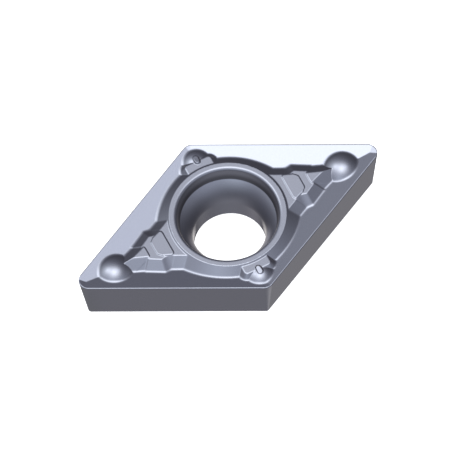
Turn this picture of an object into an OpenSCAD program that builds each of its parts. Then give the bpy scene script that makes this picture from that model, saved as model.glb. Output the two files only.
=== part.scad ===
// Rhombic positive turning insert with a chip breaker pressed into its top face.
// It is one sintered piece. +X points to a sharp corner, +Y to a blunt corner and
// +Z along the screw hole. The origin is the middle of the seat face.
// Depths and rises are measured from the cutting edges.

/* [Plate] */
// Diameter of the circle that the four cutting edges touch
inscribed_circle = 6.35; // [6.2:0.05:7.6]
// Height of the cutting edges above the seat face
thickness = 2.38; // [2.2:0.01:3.2]
// Angle between the cutting edges at a sharp corner
nose_angle = 55; // [53:0.5:58]
// Radius of the four corners, seen from above
nose_radius = 0.4; // [0.2:0.05:0.6]
// Relief angle of the four flanks
relief_angle = 7; // [3:0.5:11]

/* [Screw hole] */
// Diameter of the straight part of the screw hole
hole_d = 2.8; // [2.5:0.05:3]
// Radius of the curve that the screw head sits on, in section
seat_curve = 1.5; // [1.3:0.05:1.8]
// Depth at which the seat curve runs into the straight hole
seat_depth = 1.53; // [1.3:0.01:1.7]
// Depth of the crease between the seat curve and the mouth wall
mouth_depth = 0.43; // [0.35:0.01:0.6]
// Draft of the mouth wall
mouth_draft = 12; // [5:1:20]
// Rounding between the mouth wall and the top of the ring
mouth_round = 0.17; // [0.1:0.01:0.2]
// Chamfer at the seat face end of the hole
hole_chamfer = 0.05; // [0.02:0.01:0.1]

/* [Ring] */
// Rise of the ring around the screw hole above the cutting edges
ring_rise = 0.15; // [0.13:0.01:0.25]
// Width of the flat top of the ring
ring_flat = 0.145; // [0.1:0.005:0.3]

/* [Chip breaker] */
// Slope of the four rake faces, falling inwards from the cutting edges
rake_angle = 14; // [10:0.5:16]
// Slope of the small facet behind each sharp corner
nose_facet_angle = 17; // [14:0.5:20]
// Slope of the small facet behind each blunt corner
blunt_facet_angle = 14; // [12:0.5:16]
// Slope of the walls of the ring and the arms
wall_angle = 38.5; // [35:0.5:45]
// Slope of the walls of the bosses and of the end faces of the shoulders
end_wall_angle = 48; // [44:1:55]

/* [Arms] */
// Rise of the flat top of the arms above the cutting edges
arm_rise = 0.1; // [0.06:0.01:0.12]
// Height of the raised pads over the top of the arms
pad_step = 0.03; // [0.02:0.005:0.05]
// Distance from the tip of a sharp corner to the point of the arm's small pad
arm_inset = 2.3; // [2.2:0.01:2.4]
// Angle between each side of an arm and its middle line
arm_taper = 21.6; // [20:0.2:23]
// Length of the small pad
small_pad_length = 0.63; // [0.55:0.01:0.7]
// Distance from the small pad's point to the outer side of the large pad
large_pad_start = 0.925; // [0.88:0.005:0.96]
// Length of the large pad
large_pad_length = 0.6; // [0.55:0.01:0.64]
// Distance from the small pad's point to the outer shoulder
outer_shoulder_start = 0.535; // [0.5:0.01:0.56]
// Half width of the outer shoulder at its outer end
outer_shoulder_half = 0.31; // [0.28:0.01:0.34]
// Length of the outer shoulder up to its widest place
outer_shoulder_length = 0.445; // [0.4:0.01:0.5]
// Distance from the small pad's point to the inner shoulder
inner_shoulder_start = 1.51; // [1.45:0.01:1.56]
// Half width of the inner shoulder at its outer end
inner_shoulder_half = 0.63; // [0.6:0.01:0.66]
// Angle between the sides of the shoulders and the arm's middle line
shoulder_flare = 30.5; // [28:0.5:33]

/* [Bosses] */
// Width of the flat top of the boss at each blunt corner
boss_width = 1.11; // [1:0.01:1.2]
// Distance from the tip of a blunt corner to the outer edge of the boss
boss_inset = 0.843; // [0.8:0.01:0.9]
// Rounding of the two outer corners of the boss
boss_corner = 0.13; // [0.08:0.01:0.18]
// Width of the top of the small post between the boss and its dome
post_width = 0.14; // [0.12:0.01:0.2]
// Length of the top of the post
post_length = 0.3; // [0.25:0.01:0.4]
// Distance from the outer edge of the boss to the middle of the post
post_reach = 0.035; // [0:0.005:0.06]
// Height of the post over the top of the boss, at the post's inner end
post_step = 0.08; // [0.07:0.005:0.1]
// Slope of the top of the post, falling outwards
post_slope = 8; // [5:1:10]
// Slope of the wall around the post
post_wall_angle = 55; // [50:1:65]

/* [Domes] */
// Rise of the domes above the cutting edges
dome_rise = 0.13; // [0.11:0.01:0.15]
// Distance from the tip of a sharp corner to the middle of its dome
nose_dome_inset = 1.5; // [1.45:0.01:1.55]
// Radius of the ball that shapes a dome at a sharp corner
nose_dome_ball = 0.95; // [0.85:0.01:1.05]
// Distance from the tip of a blunt corner to the middle of its dome
blunt_dome_inset = 0.75; // [0.7:0.01:0.8]
// Radius of the ball that shapes a dome at a blunt corner
blunt_dome_ball = 0.78; // [0.72:0.01:0.84]

/* [Hidden] */
$fn = 96;

// Half angles and radii of the outline
half_nose = nose_angle / 2;
edge_r = inscribed_circle / 2;
sharp_centre = (edge_r - nose_radius) / sin(half_nose);
blunt_centre = (edge_r - nose_radius) / cos(half_nose);
sharp_tip = sharp_centre + nose_radius;
blunt_tip = blunt_centre + nose_radius;
// Headings of the four straight flanks
flank_headings = [for (turn = [0, 180]) each [turn + 90 - half_nose, turn + 90 + half_nose]];

// Radii of the hole and the ring
hole_r = hole_d / 2;
seat_rise = seat_depth - mouth_depth;
crease_r = hole_r + seat_curve - sqrt(seat_curve * seat_curve - seat_rise * seat_rise);
mouth_r = crease_r + (mouth_depth + ring_rise - mouth_round) * tan(mouth_draft);
ring_r = mouth_r + mouth_round + ring_flat;

// Levels above the seat face
ring_z = thickness + ring_rise;
arm_z = thickness + arm_rise;
pad_z = arm_z + pad_step;
// The raised forms reach down to here inside the plate, below the lowest rake face
root_z = thickness - edge_r * tan(rake_angle) - 0.1;

// Places along an arm, measured from the hole
arm_point = sharp_tip - arm_inset;
small_pad_inner = arm_point - small_pad_length;
large_pad_outer = arm_point - large_pad_start;
large_pad_inner = large_pad_outer - large_pad_length;
boss_edge = blunt_tip - boss_inset;

// Cutting blocks are this large, and run past what they cut by this much
block = 4 * inscribed_circle;
over = 1;
// Steps in each rounded corner of an outline
corner_steps = 5;

function unit(v) = v / norm(v);

// Half width of an arm's pointed core at the distance x from the hole's middle
function core_half(x) = (arm_point - x) * tan(arm_taper);

// Points of the arc that rounds a corner of an outline
function rounded_corner(before, corner, after, radius) =
    let (to_before = unit(before - corner))
    let (to_after = unit(after - corner))
    let (half = acos(to_before * to_after) / 2)
    let (centre = corner + unit(to_before + to_after) * radius / sin(half))
    let (first = corner + to_before * radius / tan(half) - centre)
    let (start = atan2(first.y, first.x))
    [for (step = [0 : corner_steps])
        let (angle = start + (180 - 2 * half) * step / corner_steps)
        centre + radius * [cos(angle), sin(angle)]];

// The half of an outline below the X axis, followed by its mirror image
function mirrored(points) =
    let (count = len(points))
    concat(points, [for (i = [1 : count]) [points[count - i].x, -points[count - i].y]]);

// An outline that is mirrored about the X axis, with its corners rounded. Both lists
// run anticlockwise over the half below the X axis.
function rounded(points, radii) =
    let (outline = mirrored(points))
    let (count = len(outline))
    [for (i = [0 : count - 1])
        each rounded_corner(outline[(i + count - 1) % count], outline[i],
            outline[(i + 1) % count], radii[min(i, count - 1 - i)])];

// Everything below a plane. The plane holds the level line that lies at the distance
// reach in the direction heading, and it falls outwards at the angle slope.
module below_plane(heading, reach, level, slope) {
    rotate([0, 0, heading])
        translate([reach, 0, level])
            rotate([0, slope, 0])
                translate([-block / 2, -block / 2, -block])
                    cube([block, block, block]);
}

// Everything above such a plane
module above_plane(heading, reach, level, slope) {
    rotate([0, 0, heading])
        translate([reach, 0, level])
            rotate([0, slope, 0])
                translate([-block / 2, -block / 2, 0])
                    cube([block, block, block]);
}

// Everything between two levels
module layer(bottom, top) {
    translate([-block / 2, -block / 2, bottom])
        cube([block, block, top - bottom]);
}

// A raised form whose flat top has a convex, anticlockwise outline and whose walls
// fall outwards, each at its own slope
module sloping_block(outline, level, slopes) {
    count = len(outline);
    intersection() {
        layer(root_z, level);
        intersection_for (i = [0 : count - 1]) {
            side = outline[(i + 1) % count] - outline[i];
            normal = unit([side.y, -side.x]);
            below_plane(atan2(normal.y, normal.x), normal * outline[i], level, slopes[i]);
        }
    }
}

// Repeats what is made for one end of the insert at the other end
module at_both_ends(heading) {
    for (turn = [heading, heading + 180])
        rotate([0, 0, turn])
            children();
}

// The wedge that comes off a corner of the plate before its cone goes on
module corner_wedge(centre, half_sector, top) {
    bottom = max(-over, thickness - nose_radius / tan(relief_angle));
    far = 2 * nose_radius + over;
    translate([centre, 0, bottom])
        linear_extrude(top + over - bottom)
            polygon([[0, 0], [far, -far * tan(half_sector)], [far, far * tan(half_sector)]]);
}

// The rounding of a corner of the plate: a sector of a cone that narrows downwards. It
// reaches into the plate past both sides of the wedge.
module corner_cone(centre, half_sector, top) {
    overlap_angle = 20;
    half_turn = half_sector + overlap_angle;
    bottom = max(0, thickness - nose_radius / tan(relief_angle));
    bottom_r = nose_radius - (thickness - bottom) * tan(relief_angle);
    top_r = nose_radius + (top - thickness) * tan(relief_angle);
    foot = bottom > 0 ? [[0, bottom]] : [[0, bottom], [bottom_r, bottom]];
    translate([centre, 0, 0])
        rotate([0, 0, -half_turn])
            rotate_extrude(angle = 2 * half_turn)
                polygon(concat(foot, [[top_r, top], [0, top]]));
}

// Everything inside the four flanks and the four rounded corners
module flanks() {
    top = thickness + over;
    difference() {
        intersection() {
            layer(0, top);
            intersection_for (heading = flank_headings)
                below_plane(heading, edge_r, thickness, 90 + relief_angle);
        }
        at_both_ends(0)
            corner_wedge(sharp_centre, 90 - half_nose, top);
        at_both_ends(90)
            corner_wedge(blunt_centre, half_nose, top);
    }
    at_both_ends(0)
        corner_cone(sharp_centre, 90 - half_nose, top);
    at_both_ends(90)
        corner_cone(blunt_centre, half_nose, top);
}

// The hollow above the four rake faces and the four corner facets
module rake_hollow() {
    intersection() {
        intersection_for (heading = flank_headings)
            above_plane(heading, edge_r, thickness, -rake_angle);
        intersection_for (heading = [0, 180])
            above_plane(heading, sharp_tip, thickness, -nose_facet_angle);
        intersection_for (heading = [90, 270])
            above_plane(heading, blunt_tip, thickness, -blunt_facet_angle);
    }
}

// The ring around the mouth of the screw hole
module ring() {
    wall_height = ring_z - root_z;
    translate([0, 0, root_z])
        cylinder(h = wall_height, r1 = ring_r + wall_height / tan(wall_angle), r2 = ring_r);
}

// The outlines of the two raised pads on an arm. The arm's own walls trim their sides.
module pad_outlines() {
    beside = 0.02;
    corner = 0.1;
    wide_corner = 0.16;
    small_half = core_half(small_pad_inner) + beside;
    large_half = core_half(large_pad_inner) + beside;
    bend = large_pad_outer - wide_corner;
    bend_half = core_half(bend) + beside;
    polygon(rounded([
        [small_pad_inner, -small_half],
        [arm_point + small_half, -small_half]], [corner, corner]));
    polygon(rounded([
        [large_pad_inner, -large_half],
        [bend, -bend_half],
        [large_pad_outer, -bend_half + wide_corner]], [corner, wide_corner, wide_corner]));
}

// The pointed core of an arm, with its two raised pads
module arm_core() {
    side_heading = 90 - arm_taper;
    side_reach = arm_point * sin(arm_taper);
    difference() {
        intersection() {
            layer(root_z, pad_z);
            below_plane(side_heading, side_reach, pad_z, wall_angle);
            below_plane(-side_heading, side_reach, pad_z, wall_angle);
            translate([hole_r, -block / 2, root_z])
                cube([block, block, block]);
        }
        difference() {
            layer(arm_z, pad_z + over);
            translate([0, 0, arm_z - over])
                linear_extrude(pad_step + 3 * over)
                    pad_outlines();
        }
    }
}

// The step that widens an arm just behind its small pad
module outer_shoulder() {
    back_angle = 15;
    outer = arm_point - outer_shoulder_start;
    widest = outer - outer_shoulder_length;
    inner = widest - outer_shoulder_length;
    widest_half = outer_shoulder_half + outer_shoulder_length * tan(shoulder_flare);
    inner_half = widest_half - outer_shoulder_length * tan(back_angle);
    walls = [wall_angle, wall_angle, end_wall_angle, wall_angle, wall_angle, 90];
    sloping_block(mirrored([[inner, -inner_half], [widest, -widest_half],
        [outer, -outer_shoulder_half]]), arm_z, walls);
}

// The step that widens an arm again where it runs into the ring
module inner_shoulder() {
    outer = arm_point - inner_shoulder_start;
    inner_half = inner_shoulder_half + (outer - hole_r) * tan(shoulder_flare);
    walls = [wall_angle, end_wall_angle, wall_angle, 90];
    sloping_block(mirrored([[hole_r, -inner_half], [outer, -inner_shoulder_half]]),
        arm_z, walls);
}

// The flat-topped boss that joins the ring to the dome at a blunt corner
module boss() {
    half = boss_width / 2;
    rounding = rounded_corner([hole_r, -half], [boss_edge, -half], [boss_edge, 0], boss_corner);
    outline = mirrored(concat([[hole_r, -half]], rounding));
    walls = [for (i = [1 : len(outline)]) i < len(outline) ? end_wall_angle : 90];
    sloping_block(outline, arm_z, walls);
}

// A dome behind a corner: the top of a ball that is sunk into the plate
module dome(inset, tip, ball) {
    translate([tip - inset, 0, thickness + dome_rise - ball])
        sphere(r = ball);
}

// The small oval post that stands half on the boss and half on its dome
module post() {
    half_length = post_length / 2;
    half_width = post_width / 2;
    middle = boss_edge + post_reach;
    corner = 0.95 * half_width;
    outline = [for (point = rounded([[-half_length, -half_width], [half_length, -half_width]],
        [corner, corner])) point + [middle, 0]];
    intersection() {
        sloping_block(outline, arm_z + post_step, [for (point = outline) post_wall_angle]);
        below_plane(0, middle - half_length, arm_z + post_step, post_slope);
    }
}

// All that stands above the rake faces
module island() {
    ring();
    at_both_ends(0) {
        arm_core();
        outer_shoulder();
        inner_shoulder();
        dome(nose_dome_inset, sharp_tip, nose_dome_ball);
    }
    at_both_ends(90) {
        boss();
        dome(blunt_dome_inset, blunt_tip, blunt_dome_ball);
        post();
    }
}

// The straight screw hole, the curved seat for the screw head and the mouth above it
module screw_hole() {
    seat_z = thickness - seat_depth;
    round_z = ring_z - mouth_round;
    round_r = mouth_r + mouth_round;
    translate([0, 0, -over])
        cylinder(h = ring_z + 2 * over, r = hole_r);
    rotate_extrude()
        difference() {
            polygon(concat(
                [[0, seat_z], [crease_r - seat_rise * tan(mouth_draft), seat_z]],
                [for (turn = [180 : -15 : 90])
                    [round_r + mouth_round * cos(turn), round_z + mouth_round * sin(turn)]],
                [[round_r, ring_z + over], [0, ring_z + over]]));
            translate([hole_r + seat_curve, seat_z])
                circle(r = seat_curve);
        }
    translate([0, 0, -hole_chamfer])
        cylinder(h = 2 * hole_chamfer, r1 = hole_r + 2 * hole_chamfer, r2 = hole_r);
}

// The whole insert
module insert() {
    color([0.62, 0.64, 0.70]) {
        difference() {
            intersection() {
                flanks();
                union() {
                    difference() {
                        layer(0, thickness + over);
                        rake_hollow();
                    }
                    island();
                }
            }
            screw_hole();
        }
    }
}

insert();
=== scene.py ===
import math

import bpy
import numpy as np
from bpy.props import (FloatProperty, FloatVectorProperty, IntProperty, PointerProperty,
                       StringProperty)
from mathutils import Matrix, Vector


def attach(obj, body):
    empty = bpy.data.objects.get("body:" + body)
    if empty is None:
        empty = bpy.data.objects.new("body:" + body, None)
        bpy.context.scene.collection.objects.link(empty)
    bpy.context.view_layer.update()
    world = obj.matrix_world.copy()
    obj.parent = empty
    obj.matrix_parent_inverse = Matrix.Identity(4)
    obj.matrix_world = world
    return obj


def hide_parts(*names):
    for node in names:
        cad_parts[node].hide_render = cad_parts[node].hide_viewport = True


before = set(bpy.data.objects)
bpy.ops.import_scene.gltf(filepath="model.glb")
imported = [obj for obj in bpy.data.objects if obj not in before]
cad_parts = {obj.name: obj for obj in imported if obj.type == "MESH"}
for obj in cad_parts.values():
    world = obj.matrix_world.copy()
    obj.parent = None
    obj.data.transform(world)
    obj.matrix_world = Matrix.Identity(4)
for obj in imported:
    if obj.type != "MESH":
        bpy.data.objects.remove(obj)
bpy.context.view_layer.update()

bl_info = {
    "name": "Carbide Insert Looks",
    "version": (1, 0, 0),
    "blender": (4, 5, 0),
    "location": "View3D > Sidebar > Insert",
    "description": "Finishes a sintered carbide turning insert and sets up its studio",
    "category": "Object",
}


def tan(degrees):
    return math.tan(math.radians(degrees))


def sin(degrees):
    return math.sin(math.radians(degrees))


def cos(degrees):
    return math.cos(math.radians(degrees))


# The insert's form in millimetres and degrees, as in the part's source. Levels are
# heights over the seat face, and headings are turned from +X towards +Y.
MM = 0.001
THICKNESS = 2.38
EDGE_REACH = 3.175
HALF_NOSE = 27.5
NOSE_RADIUS = 0.4
RELIEF = 7.0
SHARP_CENTRE = (EDGE_REACH - NOSE_RADIUS) / sin(HALF_NOSE)
BLUNT_CENTRE = (EDGE_REACH - NOSE_RADIUS) / cos(HALF_NOSE)
SHARP_TIP = SHARP_CENTRE + NOSE_RADIUS
BLUNT_TIP = BLUNT_CENTRE + NOSE_RADIUS

# The rake faces and the facets behind the corners
RAKE = 14.0
NOSE_FACET = 17.0
BLUNT_FACET = 14.0

# The screw hole, its seat and its mouth
HOLE_RADIUS = 1.4
HOLE_CHAMFER = 0.05
SEAT_CURVE = 1.5
SEAT_LEVEL = THICKNESS - 1.53
MOUTH_LEVEL = THICKNESS - 0.43
MOUTH_DRAFT = 12.0
CREASE_RADIUS = HOLE_RADIUS + SEAT_CURVE - math.sqrt(SEAT_CURVE ** 2 - (MOUTH_LEVEL - SEAT_LEVEL) ** 2)

# The raised ring around the mouth
RING_LEVEL = THICKNESS + 0.15
RING_RADIUS = 2.2824
WALL = 38.5
END_WALL = 48.0

# An arm: its core, its shoulders and its pads, measured back from the arm's point
ARM_LEVEL = THICKNESS + 0.1
ARM_POINT = SHARP_TIP - 2.3
ARM_TAPER = 21.6
OUTER_SHOULDER_START = 0.535
OUTER_SHOULDER_HALF = 0.31
OUTER_SHOULDER_LENGTH = 0.445
INNER_SHOULDER_START = 1.51
INNER_SHOULDER_HALF = 0.63
SHOULDER_FLARE = 30.5
SHOULDER_BACK = 15.0
PAD_STEP = 0.03
PAD_LEVEL = ARM_LEVEL + PAD_STEP
PAD_WALL = 65.0
PAD_BESIDE = 0.02
PAD_CORNER = 0.1
PAD_WIDE_CORNER = 0.16
SMALL_PAD_LENGTH = 0.63
LARGE_PAD_START = 0.925
LARGE_PAD_LENGTH = 0.6

# A boss with its post
BOSS_EDGE = BLUNT_TIP - 0.843
BOSS_HALF = 0.555
BOSS_CORNER = 0.13
POST_LEVEL = ARM_LEVEL + 0.08
POST_MIDDLE = BOSS_EDGE + 0.035
POST_HALF_LENGTH = 0.15
POST_HALF_WIDTH = 0.07
POST_SLOPE = 8.0
POST_WALL = 55.0

# The domes behind the corners. Their sides meet the arms and bosses at about DOME_TURN.
DOME_TURN = 80.0
DOME_LEVEL = THICKNESS + 0.13
NOSE_DOME = SHARP_TIP - 1.5
NOSE_DOME_BALL = 0.95
BLUNT_DOME = BLUNT_TIP - 0.75
BLUNT_DOME_BALL = 0.78

# Blend widths of edges that are only a trifle soft, in millimetres, and a distance that
# stands for no solid near
FACET_BLEND = 0.003
RAKE_BLEND = 0.01
SHOULDER_BLEND = 0.04
FAR = 1.0

# The shade at the foot of the mouth: heights over the crease between seat and mouth, and
# the radius within which it lies, in millimetres
SHADE_FULL = 0.1
SHADE_END = 0.36
SHADE_BELOW = -0.01
SHADE_START = 0.03
SHADE_RADIUS = 1.97

# The soft light areas of the studio: where each lies as the camera sees it, the direction
# to it, how tightly it is bounded, its strength and its colour as sRGB hex. A program fitted
# these rows to the shading in the photograph, and some were then adjusted. Together
# they stand for its surroundings, and no single row is a lamp or a wall that was there.
GLOWS = (
    ("overhead", (-0.01, 0.01, 1.00), 12.5, 1.62, "#FAFEFF"),
    ("overhead left, wide", (-0.45, 0.13, 0.88), 1.9, 0.36, "#E8EBFF"),
    ("left", (-0.57, 0.49, 0.66), 7.2, 0.39, "#F6FFFF"),
    ("rear left", (-0.36, 0.43, 0.83), 45.0, 0.88, "#F7FCFF"),
    ("front right", (0.21, -0.87, 0.44), 4.7, 0.31, "#E8F0FF"),
    ("front left", (-0.61, -0.63, 0.48), 7.4, 0.27, "#E9F7FF"),
    ("front left, higher", (-0.53, -0.56, 0.62), 25.0, 0.14, "#EEF7FF"),
    ("overhead right, small", (0.33, 0.02, 0.94), 150.0, 0.46, "#D3DFFF"),
    ("right", (0.88, -0.42, 0.20), 8.7, 0.1, "#EDF3FF"),
    ("below left", (-0.25, 0.16, -0.96), 38.0, 0.4, "#FFF8F8"),
    ("below right", (0.26, -0.06, -0.96), 37.5, 0.38, "#FFFBF7"),
    ("below, front right", (-0.06, -0.62, -0.79), 7.3, 0.147, "#FAFAFF"),
    ("below, front left", (-0.57, -0.35, -0.74), 10.6, 0.114, "#FDFCFF"),
    ("below, rear right", (0.67, 0.46, -0.58), 60.0, 0.24, "#FFF5F3"),
    ("below, rear left", (-0.13, 0.81, -0.57), 60.0, 0.385, "#FFFBFC"),
)


def linear(hex_colour):
    """An sRGB hex colour as linear RGB with alpha 1."""
    channels = [int(hex_colour[i:i + 2], 16) / 255 for i in (1, 3, 5)]
    return [c / 12.92 if c <= 0.04045 else ((c + 0.055) / 1.055) ** 2.4 for c in channels] + [1.0]


def fillet(radius, turn):
    """The blend width that rounds an edge, where the faces turn by that angle, to the radius."""
    return 4 * radius * (1 - cos(turn / 2))


def join(a, b, width):
    """Two solids grown together, with the valley between them filled."""
    share = np.maximum(width - np.abs(a - b), 0) / width
    return np.minimum(a, b) - share * share * width / 4


def trim(a, b, width):
    """What two solids have in common, with the edge between them rounded."""
    return -join(-a, -b, width)


def face(p, heading, reach, level, slope):
    """Distance from a plane that falls outwards at the slope, above it positive."""
    out = p[0] * cos(heading) + p[1] * sin(heading) - reach
    return (p[2] - level) * cos(slope) + out * sin(slope)


def wall_through(p, heading, x, y):
    """Distance from an arm's side wall whose upper edge passes through the point."""
    return face(p, heading, x * cos(heading) + y * sin(heading), ARM_LEVEL, WALL)


def plate_top(p):
    """The four rake faces, and the small facets behind the corners."""
    top = face(p, 90 - HALF_NOSE, EDGE_REACH, THICKNESS, -RAKE)
    for heading in (HALF_NOSE - 90, 90 + HALF_NOSE):
        top = join(top, face(p, heading, EDGE_REACH, THICKNESS, -RAKE), RAKE_BLEND)
    top = join(top, face(p, 0, SHARP_TIP, THICKNESS, -NOSE_FACET), FACET_BLEND)
    return join(top, face(p, 90, BLUNT_TIP, THICKNESS, -BLUNT_FACET), FACET_BLEND)


def ring(p, sizes):
    """The ring around the mouth, with its flat top and its sloping outer wall."""
    radius = np.hypot(p[0], p[1])
    wall = (p[2] - RING_LEVEL) * cos(WALL) + (radius - RING_RADIUS) * sin(WALL)
    return trim(p[2] - RING_LEVEL, wall, fillet(sizes.ring_round, WALL))


def shoulder(p, start, half, soft):
    """A step that widens an arm: its flared side and its end wall."""
    outer = ARM_POINT - start
    side = wall_through(p, 90 - SHOULDER_FLARE, outer, half)
    return trim(side, face(p, 0, outer, ARM_LEVEL, END_WALL), soft)


def core_half(x):
    """Half the width of the pads' outlines, which reach a little past the arm's core."""
    return (ARM_POINT - x) * tan(ARM_TAPER) + PAD_BESIDE


def pad_outlines(p):
    """Distance from the outlines of the two pads, as seen from above."""
    corner = fillet(PAD_CORNER, 90)
    inner = ARM_POINT - SMALL_PAD_LENGTH
    small = trim(inner - p[0], p[1] - core_half(inner), corner)

    outer = ARM_POINT - LARGE_PAD_START
    bend = outer - PAD_WIDE_CORNER
    bevel = (p[0] - bend + p[1] - core_half(bend)) * cos(45)
    front = trim(bevel, p[0] - outer, fillet(PAD_WIDE_CORNER, 45))
    side = (p[1] - core_half(p[0])) * cos(ARM_TAPER)
    back = trim(side, outer - LARGE_PAD_LENGTH - p[0], fillet(PAD_CORNER, 90 + ARM_TAPER))
    return np.minimum(small, trim(front, back, RAKE_BLEND))


def arm(p, sizes):
    """An arm: its pointed core, two shoulders and two thin pads."""
    soft = fillet(sizes.edge_round, WALL)
    reach = ARM_POINT * sin(ARM_TAPER)
    core = face(p, 90 - ARM_TAPER, reach, PAD_LEVEL, WALL)
    core = trim(core, face(p, ARM_TAPER - 90, reach, PAD_LEVEL, WALL), soft)

    widest = ARM_POINT - OUTER_SHOULDER_START - OUTER_SHOULDER_LENGTH
    widest_half = OUTER_SHOULDER_HALF + OUTER_SHOULDER_LENGTH * tan(SHOULDER_FLARE)
    back = wall_through(p, 90 + SHOULDER_BACK, widest, widest_half)
    outer = trim(shoulder(p, OUTER_SHOULDER_START, OUTER_SHOULDER_HALF, soft), back, soft)
    inner = shoulder(p, INNER_SHOULDER_START, INNER_SHOULDER_HALF, soft)
    walls = join(join(core, outer, SHOULDER_BLEND), inner, SHOULDER_BLEND)
    body = trim(walls, p[2] - ARM_LEVEL, soft)

    step = fillet(sizes.step_round, PAD_WALL)
    middle = ARM_LEVEL + PAD_STEP / 2
    walls = pad_outlines(p) * sin(PAD_WALL) + (p[2] - middle) * cos(PAD_WALL)
    pads = trim(np.maximum(walls, core), p[2] - PAD_LEVEL, step)
    return np.where(p[0] > HOLE_RADIUS, join(body, pads, step), FAR)


def boss(p, sizes):
    """The flat boss towards a blunt corner."""
    across = np.maximum(p[0] - BOSS_HALF + BOSS_CORNER, 0)
    along = np.maximum(p[1] - BOSS_EDGE + BOSS_CORNER, 0)
    outside = np.hypot(across, along) - BOSS_CORNER
    walls = (p[2] - ARM_LEVEL) * cos(END_WALL) + outside * sin(END_WALL)
    body = trim(walls, p[2] - ARM_LEVEL, fillet(sizes.edge_round, END_WALL))
    return np.where(p[1] > HOLE_RADIUS, body, FAR)


def post(p, sizes):
    """The small oval post that stands half on the boss and half on its dome."""
    along = np.maximum(np.abs(p[1] - POST_MIDDLE) - POST_HALF_LENGTH + POST_HALF_WIDTH, 0)
    outside = np.hypot(along, p[0]) - POST_HALF_WIDTH
    walls = (p[2] - POST_LEVEL) * cos(POST_WALL) + outside * sin(POST_WALL)
    top = face(p, 90, POST_MIDDLE - POST_HALF_LENGTH, POST_LEVEL, POST_SLOPE)
    return trim(top, walls, fillet(sizes.step_round, POST_WALL))


def dome(p, x, y, ball, sizes):
    """The top of a ball that is sunk into the plate behind a corner, a trifle smaller and
    lower than in the part's source."""
    ball = ball - sizes.dome_trim
    top = DOME_LEVEL - sizes.dome_trim / 2
    return np.sqrt((p[0] - x) ** 2 + (p[1] - y) ** 2 + (p[2] - top + ball) ** 2) - ball


def hole_wall(p):
    """The screw hole, its curved seat and its drafted mouth."""
    # The seat's curve stops a little before it would be level
    rise = np.clip(p[2] - SEAT_LEVEL, 0, 0.98 * SEAT_CURVE)
    seat = HOLE_RADIUS + SEAT_CURVE - np.sqrt(SEAT_CURVE ** 2 - rise ** 2)
    mouth = CREASE_RADIUS + (p[2] - MOUTH_LEVEL) * tan(MOUTH_DRAFT)
    wall = join(seat, mouth, RAKE_BLEND)
    wall = np.maximum(wall, HOLE_RADIUS + HOLE_CHAMFER - p[2])
    return (wall - np.hypot(p[0], p[1])) * cos(MOUTH_DRAFT)


def flank_wall(p, sizes):
    """The four flanks and the conical corners between them. They stand out a trifle, because
    the hone takes the cutting edges back."""
    along = np.array([-SHARP_CENTRE, BLUNT_CENTRE])
    share = ((p[0] - SHARP_CENTRE) * along[0] + p[1] * along[1]) / (along @ along)
    share = np.clip(share, 0, 1)
    away = np.hypot(p[0] - SHARP_CENTRE - share * along[0], p[1] - share * along[1])
    heading = 90 - HALF_NOSE
    inside = p[0] * cos(heading) + p[1] * sin(heading) < EDGE_REACH - NOSE_RADIUS
    away = np.where(inside, -away, away)
    away = away - NOSE_RADIUS - (p[2] - THICKNESS) * tan(RELIEF)
    return away * cos(RELIEF) - sizes.flank_spare


def insert_form(x, y, z, sizes):
    """Distance from the finished surface in millimetres, negative inside the carbide.
    The insert mirrors about both middle planes, so one quarter says it all."""
    p = (np.abs(x), np.abs(y), z)
    soft = fillet(sizes.dome_fillet, DOME_TURN)
    nose_end = join(arm(p, sizes), dome(p, NOSE_DOME, 0, NOSE_DOME_BALL, sizes), soft)
    blunt_end = join(boss(p, sizes), dome(p, 0, BLUNT_DOME, BLUNT_DOME_BALL, sizes), soft)
    island = join(np.minimum(nose_end, blunt_end), ring(p, sizes), fillet(sizes.ring_fillet, WALL))
    body = join(plate_top(p), island, fillet(sizes.valley_fillet, WALL + RAKE))
    body = join(body, post(p, sizes), fillet(sizes.step_round, POST_WALL))
    body = trim(body, flank_wall(p, sizes), fillet(sizes.cutting_hone, 90 + RAKE + RELIEF))
    body = trim(body, hole_wall(p), fillet(sizes.mouth_round, 90 - MOUTH_DRAFT))
    return trim(body, -p[2], fillet(sizes.seat_round, 90))


def slope_of(form, points, sizes):
    """The form's value and its slope at each point."""
    step = 0.001
    x, y, z = points.T
    slope = np.empty_like(points)
    slope[:, 0] = form(x + step, y, z, sizes) - form(x - step, y, z, sizes)
    slope[:, 1] = form(x, y + step, z, sizes) - form(x, y - step, z, sizes)
    slope[:, 2] = form(x, y, z + step, sizes) - form(x, y, z - step, sizes)
    return form(x, y, z, sizes), slope / (2 * step)


def outward(points, sizes):
    """The finished surface's normal near each point."""
    slope = slope_of(insert_form, points, sizes)[1]
    return slope / np.linalg.norm(slope, axis=1)[:, None]


def vertex_places(piece):
    """The places of the piece's vertices, one row for each."""
    places = np.empty(len(piece.data.vertices) * 3)
    piece.data.vertices.foreach_get("co", places)
    return places.reshape(-1, 3)


def settle(piece, sizes, rounds):
    """Moves each vertex onto the finished surface and returns the surface's normals there."""
    longest_move = 0.05
    least_steep = 0.2
    points = vertex_places(piece)
    for _ in range(rounds):
        value, slope = slope_of(insert_form, points, sizes)
        steep = np.maximum((slope * slope).sum(1), least_steep)
        points -= slope * np.clip(value / steep, -longest_move, longest_move)[:, None]
    piece.data.vertices.foreach_set("co", points.ravel())
    piece.data.update()
    return outward(points, sizes)


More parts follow.
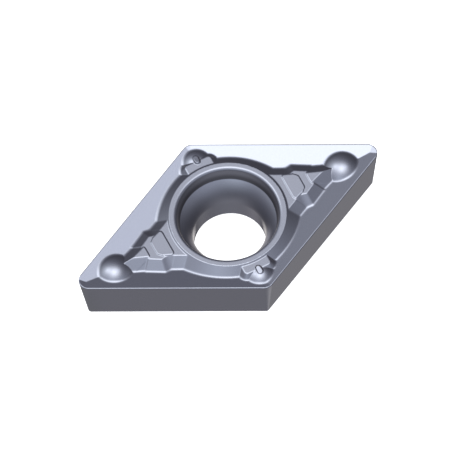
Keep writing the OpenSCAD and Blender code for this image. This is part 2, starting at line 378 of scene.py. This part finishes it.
def flat_share(piece, normals, rings):
    """1 for each vertex in a flat area, 0 where the surface bends within some rings of it."""
    least_bend = 1.2
    edges = np.empty(len(piece.data.edges) * 2, dtype=np.int64)
    piece.data.edges.foreach_get("vertices", edges)
    first, second = edges.reshape(-1, 2).T
    bends = (normals[first] * normals[second]).sum(1) < cos(least_bend)
    flat = np.ones(len(normals))
    flat[first[bends]] = 0
    flat[second[bends]] = 0
    for _ in range(rings):
        both = np.minimum(flat[first], flat[second])
        np.minimum.at(flat, first, both)
        np.minimum.at(flat, second, both)
    return flat


def corner_normals(piece, normals, sizes):
    """A normal for each face corner: the vertex's own, or at a bend at the end of a large face,
    the surface's normal a little way into the face, so flat faces stay flat."""
    inset = 0.035
    largest_share = 0.3
    least_bend = 4
    vertex = np.empty(len(piece.data.loops), dtype=np.int64)
    piece.data.loops.foreach_get("vertex_index", vertex)
    points = vertex_places(piece)[vertex]
    middles = np.empty(len(piece.data.polygons) * 3)
    piece.data.polygons.foreach_get("center", middles)
    sides = np.empty(len(piece.data.polygons), dtype=np.int64)
    piece.data.polygons.foreach_get("loop_total", sides)
    inward = np.repeat(middles.reshape(-1, 3), sides, axis=0) - points
    length = np.linalg.norm(inward, axis=1)[:, None]
    share = np.minimum(largest_share, inset / np.maximum(length, 1e-9))
    inner = outward(points + inward * share, sizes)
    outer = normals[vertex]
    large = length[:, 0] > 2 * sizes.grid
    bends = large & ((outer * inner).sum(1) < cos(least_bend))
    return np.where(bends[:, None], inner, outer)


def only(piece):
    """Deselects everything, then selects this piece and makes it active."""
    if bpy.context.object and bpy.context.object.mode != "OBJECT":
        bpy.ops.object.mode_set(mode="OBJECT")
    bpy.ops.object.select_all(action="DESELECT")
    piece.select_set(True)
    bpy.context.view_layer.objects.active = piece


def add_node(tree, kind, links=None, **settings):
    """Adds a node, sets its own settings and its sockets, and links its inputs."""
    node = tree.nodes.new(kind)
    for name, value in settings.items():
        if hasattr(node, name):
            setattr(node, name, value)
        else:
            node.inputs[name.replace("_", " ")].default_value = value
    for name, source in (links or {}).items():
        tree.links.new(source, node.inputs[name])
    return node


class InsertSizes(bpy.types.PropertyGroup):
    """Sizes of the finishing in millimetres."""
    grid: FloatProperty(name="Grid", default=0.03, min=0.015, max=0.2,
                        description="Spacing of the mesh before flat areas are thinned, in mm")
    triangles: IntProperty(name="Triangles", default=190000, min=20000, max=199000,
                           description="The most triangles that the finished body may have")
    valley_fillet: FloatProperty(name="Valley fillet", default=0.17, min=0.02, max=0.3,
                                 description="Radius where the rake faces run into the island, in mm")
    ring_fillet: FloatProperty(name="Ring fillet", default=0.08, min=0.02, max=0.2,
                               description="Radius at the foot of the ring, in mm")
    dome_fillet: FloatProperty(name="Dome fillet", default=0.012, min=0.005, max=0.1,
                               description="Radius where the domes meet arms and bosses, in mm")
    dome_trim: FloatProperty(name="Dome trim", default=0.03, min=0, max=0.1,
                             description="How much smaller the balls of the domes are, in mm")
    ring_round: FloatProperty(name="Ring rounding", default=0.04, min=0.01, max=0.1,
                              description="Rounding of the outer edge of the ring, in mm")
    edge_round: FloatProperty(name="Edge rounding", default=0.09, min=0.01, max=0.1,
                              description="Rounding of the upper edges of arms and bosses, in mm")
    step_round: FloatProperty(name="Step rounding", default=0.028, min=0.005, max=0.05,
                              description="Rounding of the pads' and posts' edges, in mm")
    cutting_hone: FloatProperty(name="Cutting edge hone", default=0.032, min=0.005, max=0.06,
                                description="Radius of the hone along the cutting edges, in mm")
    flank_spare: FloatProperty(name="Flank spare", default=0.006, min=0, max=0.02,
                               description="How far the flanks stand out to allow for the hone, in mm")
    mouth_round: FloatProperty(name="Mouth rounding", default=0.13, min=0.05, max=0.2,
                               description="Rounding of the rim of the screw hole, in mm")
    seat_round: FloatProperty(name="Seat face edge", default=0.01, min=0.005, max=0.05,
                              description="Rounding of the edges of the seat face, in mm")


class InsertFinish(bpy.types.PropertyGroup):
    """Colour and gloss of the coated carbide."""
    coating: StringProperty(name="Coating", default="#C9CBD6",
                            description="Colour of the coating, as sRGB hex")
    grain: StringProperty(name="Grain", default="#BFC1CD",
                          description="Colour of the darker grains, as sRGB hex")
    grain_size: FloatProperty(name="Grain size", default=0.05, min=0.001, max=0.5,
                              description="Size of the sintered grain as drawn, in mm")
    grain_depth: FloatProperty(name="Grain depth", default=0.002, min=0, max=0.02,
                               description="Height of the sintered grain as drawn, in mm")
    roughness: FloatProperty(name="Roughness", default=0.24, min=0, max=1, subtype="FACTOR",
                             description="Roughness of the coated surface")
    mouth_shade: FloatProperty(name="Mouth shade", default=0.5, min=0, max=1, subtype="FACTOR",
                               description="Share of the colour left at the foot of the mouth")


class StudioSettings(bpy.types.PropertyGroup):
    """Camera, floor and lights."""
    floor: StringProperty(name="Floor", default="#FFFFFF", description="Floor colour, as sRGB hex")
    floor_gap: FloatProperty(name="Floor gap", default=0.00001, unit="LENGTH", precision=6,
                             description="How far the floor lies under the seat face")
    room: StringProperty(name="Room", default="#424146",
                         description="Colour of the dim room around the insert, as sRGB hex")
    table: StringProperty(name="Table glow", default="#FFF9F1",
                          description="Colour of the glow at the foot of the hole, as sRGB hex")
    table_size: FloatProperty(name="Table glow size", default=0.003, unit="LENGTH",
                              description="Diameter of the glow at the foot of the hole")
    table_drop: FloatProperty(name="Table glow drop", default=0.00016, unit="LENGTH", precision=6,
                              description="How far its middle lies below the origin in the picture")
    table_power: FloatProperty(name="Table glow power", default=0.0000021, unit="POWER", precision=9,
                               description="Power of the glow at the foot of the hole")
    table_spread: FloatProperty(name="Table glow spread", default=math.radians(56), unit="ROTATION",
                                description="Angle over which the glow shines")
    card: StringProperty(name="Card", default="#7C7C7D",
                         description="Colour of the card beside the left corner, as sRGB hex")
    card_place: FloatVectorProperty(name="Card place", default=(-0.00665, 0.0003), size=2,
                                    unit="LENGTH", description="Where the middle of the card lies")
    card_core: FloatProperty(name="Card core", default=0.0005, unit="LENGTH", precision=6,
                             description="Radius up to which the card covers all")
    card_reach: FloatProperty(name="Card reach", default=0.0014, unit="LENGTH", precision=6,
                              description="Radius where the card has faded away")
    view_right: FloatVectorProperty(name="Right", default=(0.89452, -0.44515, -0.04088),
                                    description="Direction of the picture's right side")
    view_back: FloatVectorProperty(name="Back", default=(-0.18192, -0.44604, 0.87633),
                                   description="Direction from the insert to the camera")
    view_shift: FloatVectorProperty(name="Shift", default=(-0.00011259, -0.00034163), size=2,
                                    unit="LENGTH", precision=6,
                                    description="The picture's middle, right of and above the hole's")
    view_width: FloatProperty(name="Width", default=0.017388, unit="LENGTH", precision=6,
                              description="Width of the picture at the insert")
    view_distance: FloatProperty(name="Distance", default=0.2, unit="LENGTH",
                                 description="Distance from the insert to the camera")


class INSERT_OT_body(bpy.types.Operator):
    """Makes the visible body of the insert from a copy of its CAD solid"""
    bl_idname = "insert.body"
    bl_label = "Finish the insert's body"

    def execute(self, context):
        merge_distance = 0.0005
        fewest_faces = 1000
        sizes = context.scene.insert_sizes
        piece = bpy.data.objects.new("carbide_body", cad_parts["insert"].data.copy())
        context.scene.collection.objects.link(piece)
        only(piece)
        bpy.ops.mesh.customdata_custom_splitnormals_clear()
        # Blender's remesher takes no grid under 0.1 mm, so the work is done a thousand
        # times as large, where one unit is a millimetre
        piece.data.transform(Matrix.Scale(1 / MM, 4))
        bpy.ops.object.mode_set(mode="EDIT")
        bpy.ops.mesh.select_all(action="SELECT")
        bpy.ops.mesh.remove_doubles(threshold=merge_distance)
        bpy.ops.mesh.normals_make_consistent(inside=False)
        bpy.ops.object.mode_set(mode="OBJECT")
        piece.data.remesh_voxel_size = sizes.grid
        piece.data.remesh_voxel_adaptivity = 0
        bpy.ops.object.voxel_remesh()
        normals = settle(piece, sizes, rounds=4)

        self.thin_flats(piece, normals, sizes)
        normals = settle(piece, sizes, rounds=2)
        normals = corner_normals(piece, normals, sizes)
        bpy.ops.object.shade_smooth()
        piece.data.transform(Matrix.Scale(MM, 4))
        piece.data.normals_split_custom_set(normals.tolist())
        if len(piece.data.polygons) < fewest_faces:
            raise RuntimeError("the body lost its faces")

        piece.data.materials.clear()
        piece.data.materials.append(coated_carbide(context.scene.insert_finish))
        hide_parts("insert")
        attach(piece, "root")
        # The gloss shows the studio alone and not other parts of the insert
        piece.visible_glossy = False
        return {"FINISHED"}

    def thin_flats(self, piece, normals, sizes):
        """Thins the mesh where it is flat. The rounded areas keep their faces."""
        group = piece.vertex_groups.new(name="flat")
        flat = flat_share(piece, normals, rings=2)
        group.add(np.flatnonzero(flat > 0.5).tolist(), 1.0, "REPLACE")
        thin = piece.modifiers.new("thin", "DECIMATE")
        thin.vertex_group = "flat"
        thin.vertex_group_factor = 10
        thin.ratio = min(1, sizes.triangles / (2 * len(piece.data.polygons)))
        bpy.ops.object.modifier_apply(modifier="thin")
        piece.vertex_groups.clear()


def coated_carbide(finish):
    """Cemented carbide with a thin blue-grey coating: a pressed and sintered surface, smooth
    and metallic, whose fine grain softens the reflections. The real grain is about a
    thousandth of a millimetre. It is drawn as coarse as it needs to show."""
    material = bpy.data.materials.new("coated_cemented_carbide")
    material.use_nodes = True
    tree = material.node_tree
    shader = tree.nodes["Principled BSDF"]
    place = add_node(tree, "ShaderNodeTexCoord")
    grain = add_node(tree, "ShaderNodeTexNoise", {"Vector": place.outputs["Object"]},
                     Scale=1 / (finish.grain_size * MM), Detail=3.0, Roughness=0.6)
    mix = add_node(tree, "ShaderNodeMix", {"Factor": grain.outputs["Fac"]}, data_type="RGBA")
    mix.inputs[6].default_value = linear(finish.grain)
    mix.inputs[7].default_value = linear(finish.coating)
    bump = add_node(tree, "ShaderNodeBump", {"Height": grain.outputs["Fac"]},
                    Strength=0.1, Distance=finish.grain_depth * MM)
    shade = mouth_shade(tree, place, finish)
    tint = add_node(tree, "ShaderNodeVectorMath", {0: mix.outputs[2], "Scale": shade},
                    operation="SCALE")
    tree.links.new(tint.outputs[0], shader.inputs["Base Color"])
    tree.links.new(bump.outputs["Normal"], shader.inputs["Normal"])
    shader.inputs["Metallic"].default_value = 1.0
    shader.inputs["Roughness"].default_value = finish.roughness
    return material


def mouth_shade(tree, place, finish):
    """The share of the colour that is left, less than 1 only at the foot of the hole's mouth.
    That band lies in the shade of the seat below it. The gloss leaves out the insert's own
    reflection, so the shade is a part of the colour there."""
    split = add_node(tree, "ShaderNodeSeparateXYZ", {0: place.outputs["Object"]})
    flat = add_node(tree, "ShaderNodeCombineXYZ", {0: split.outputs["X"], 1: split.outputs["Y"]})
    radius = add_node(tree, "ShaderNodeVectorMath", {0: flat.outputs[0]}, operation="LENGTH")
    clear = add_node(tree, "ShaderNodeMath", {0: radius.outputs["Value"]}, operation="GREATER_THAN")
    clear.inputs[1].default_value = SHADE_RADIUS * MM
    for start, end in ((SHADE_FULL, SHADE_END), (SHADE_START, SHADE_BELOW)):
        fade = add_node(tree, "ShaderNodeMapRange", {"Value": split.outputs["Z"]},
                        interpolation_type="SMOOTHSTEP")
        fade.inputs["From Min"].default_value = (MOUTH_LEVEL + start) * MM
        fade.inputs["From Max"].default_value = (MOUTH_LEVEL + end) * MM
        clear = add_node(tree, "ShaderNodeMath", {0: clear.outputs[0], 1: fade.outputs[0]},
                         operation="MAXIMUM")
    share = add_node(tree, "ShaderNodeMapRange", {"Value": clear.outputs[0]})
    share.inputs["To Min"].default_value = finish.mouth_shade
    return share.outputs[0]


def lit_white(studio):
    """The matt white sheet of a light table, lit from below, so it shows no shadow."""
    material = bpy.data.materials.new("white_light_table")
    material.use_nodes = True
    shader = material.node_tree.nodes["Principled BSDF"]
    shader.inputs["Base Color"].default_value = linear(studio.floor)
    shader.inputs["Roughness"].default_value = 1.0
    shader.inputs["Emission Color"].default_value = linear(studio.floor)
    shader.inputs["Emission Strength"].default_value = 1.0
    return material


def faded_grey(studio):
    """Evenly lit grey paper whose edges fade away."""
    material = bpy.data.materials.new("grey_card")
    material.use_nodes = True
    tree = material.node_tree
    tree.nodes.clear()
    place = add_node(tree, "ShaderNodeTexCoord")
    away = add_node(tree, "ShaderNodeVectorMath", {0: place.outputs["Object"]}, operation="LENGTH")
    fade = add_node(tree, "ShaderNodeMapRange", {"Value": away.outputs["Value"]},
                    interpolation_type="SMOOTHSTEP")
    fade.inputs["From Min"].default_value = studio.card_core
    fade.inputs["From Max"].default_value = studio.card_reach
    grey = add_node(tree, "ShaderNodeEmission", Color=linear(studio.card))
    clear = add_node(tree, "ShaderNodeBsdfTransparent")
    mix = add_node(tree, "ShaderNodeMixShader", {"Fac": fade.outputs[0]})
    tree.links.new(grey.outputs[0], mix.inputs[1])
    tree.links.new(clear.outputs[0], mix.inputs[2])
    add_node(tree, "ShaderNodeOutputMaterial", {"Surface": mix.outputs[0]})
    return material


class INSERT_OT_stage(bpy.types.Operator):
    """Sets up the floor, the soft light and the camera"""
    bl_idname = "insert.stage"
    bl_label = "Set up the studio"

    def execute(self, context):
        studio = context.scene.insert_studio
        right = Vector(studio.view_right).normalized()
        back = Vector(studio.view_back).normalized()
        up = back.cross(right)
        bpy.ops.object.select_all(action="DESELECT")
        self.light_table(studio)
        self.grey_card(studio)
        self.surroundings(context.scene, studio)
        self.table_glow(studio, right, up, back)
        context.scene.camera = self.camera(studio, right, up, back)
        context.scene.view_settings.view_transform = "Standard"
        return {"FINISHED"}

    def light_table(self, studio):
        """The floor. A small gap keeps it from coinciding with the seat face."""
        bpy.ops.mesh.primitive_plane_add(size=3, location=(0, 0, -studio.floor_gap))
        floor = bpy.context.object
        floor.name = "floor"
        floor.visible_glossy = False
        floor.data.materials.append(lit_white(studio))

    def grey_card(self, studio):
        """A card on the floor beside the sharp corner at the left. The corner's cone mirrors it
        in place of the table's glow. It shows in the gloss alone."""
        place = (*studio.card_place, -studio.floor_gap / 2)
        bpy.ops.mesh.primitive_plane_add(size=2 * studio.card_reach, location=place)
        card = bpy.context.object
        card.name = "grey_card"
        card.data.materials.append(faded_grey(studio))
        card.visible_camera = False
        card.visible_diffuse = False
        card.visible_shadow = False

    def table_glow(self, studio, right, up, back):
        """The lit table that the hole's wall mirrors, as a soft disc at the foot of the hole. It
        shines towards the camera."""
        turn = Matrix((-right, up, -back)).transposed()
        bpy.ops.object.light_add(type="AREA", location=-studio.table_drop * up,
                                 rotation=turn.to_euler())
        glow = bpy.context.object
        glow.name = "table_glow"
        glow.data.shape = "DISK"
        glow.data.size = studio.table_size
        glow.data.energy = studio.table_power
        glow.data.spread = studio.table_spread
        glow.data.color = linear(studio.table)[:3]
        glow.visible_camera = False

    def camera(self, studio, right, up, back):
        """A camera with parallel rays, as far as the picture shows."""
        shift = studio.view_shift
        middle = Vector((0, 0, THICKNESS * MM)) + shift[0] * right + shift[1] * up
        turn = Matrix((right, up, back)).transposed()
        bpy.ops.object.camera_add(location=middle + studio.view_distance * back,
                                  rotation=turn.to_euler())
        camera = bpy.context.object
        camera.data.type = "ORTHO"
        camera.data.ortho_scale = studio.view_width
        camera.data.clip_start = 0.001
        camera.data.clip_end = 10
        return camera

    def surroundings(self, scene, studio):
        """A dim room with soft light areas. The camera itself sees white around the insert."""
        world = bpy.data.worlds.new("studio")
        world.use_nodes = True
        tree = world.node_tree
        tree.nodes.clear()
        place = add_node(tree, "ShaderNodeTexCoord")
        room = add_node(tree, "ShaderNodeRGB")
        room.outputs[0].default_value = linear(studio.room)
        total = room.outputs[0]
        for name, direction, tightness, strength, colour in GLOWS:
            toward = add_node(tree, "ShaderNodeVectorMath", {0: place.outputs["Generated"]},
                              operation="DOT_PRODUCT")
            toward.inputs[1].default_value = Vector(direction).normalized()
            fall = add_node(tree, "ShaderNodeMath", {0: toward.outputs["Value"]},
                            operation="MULTIPLY_ADD")
            fall.inputs[1].default_value = tightness
            fall.inputs[2].default_value = -tightness
            share = add_node(tree, "ShaderNodeMath", {0: fall.outputs[0]}, operation="EXPONENT")
            glow = add_node(tree, "ShaderNodeVectorMath", {0: share.outputs[0], 2: total},
                            operation="MULTIPLY_ADD", label=name)
            glow.inputs[1].default_value = [strength * channel for channel in linear(colour)[:3]]
            total = glow.outputs[0]
        seen = add_node(tree, "ShaderNodeLightPath")
        light = add_node(tree, "ShaderNodeBackground", {"Color": total})
        white = add_node(tree, "ShaderNodeBackground", Color=(1, 1, 1, 1))
        mix = add_node(tree, "ShaderNodeMixShader", {"Fac": seen.outputs["Is Camera Ray"]})
        tree.links.new(light.outputs[0], mix.inputs[1])
        tree.links.new(white.outputs[0], mix.inputs[2])
        add_node(tree, "ShaderNodeOutputWorld", {"Surface": mix.outputs[0]})
        scene.world = world


class INSERT_PT_panel(bpy.types.Panel):
    """Lists the insert's settings and steps in the sidebar"""
    bl_idname = "INSERT_PT_panel"
    bl_label = "Carbide insert"
    bl_space_type = "VIEW_3D"
    bl_region_type = "UI"
    bl_category = "Insert"

    def draw(self, context):
        for group in (context.scene.insert_sizes, context.scene.insert_finish,
                      context.scene.insert_studio):
            box = self.layout.box()
            for name in group.__annotations__:
                box.prop(group, name)
        for operator in OPERATORS:
            self.layout.operator(operator.bl_idname)


OPERATORS = (INSERT_OT_body, INSERT_OT_stage)
GROUPS = {"insert_sizes": InsertSizes, "insert_finish": InsertFinish, "insert_studio": StudioSettings}


def register():
    for name, group in GROUPS.items():
        bpy.utils.register_class(group)
        setattr(bpy.types.Scene, name, PointerProperty(type=group))
    for item in OPERATORS + (INSERT_PT_panel,):
        bpy.utils.register_class(item)


def unregister():
    for item in reversed(OPERATORS + (INSERT_PT_panel,)):
        bpy.utils.unregister_class(item)
    for name, group in reversed(GROUPS.items()):
        delattr(bpy.types.Scene, name)
        bpy.utils.unregister_class(group)


def main():
    register()
    bpy.ops.insert.body()
    bpy.ops.insert.stage()


if __name__ == "__main__":
    main()
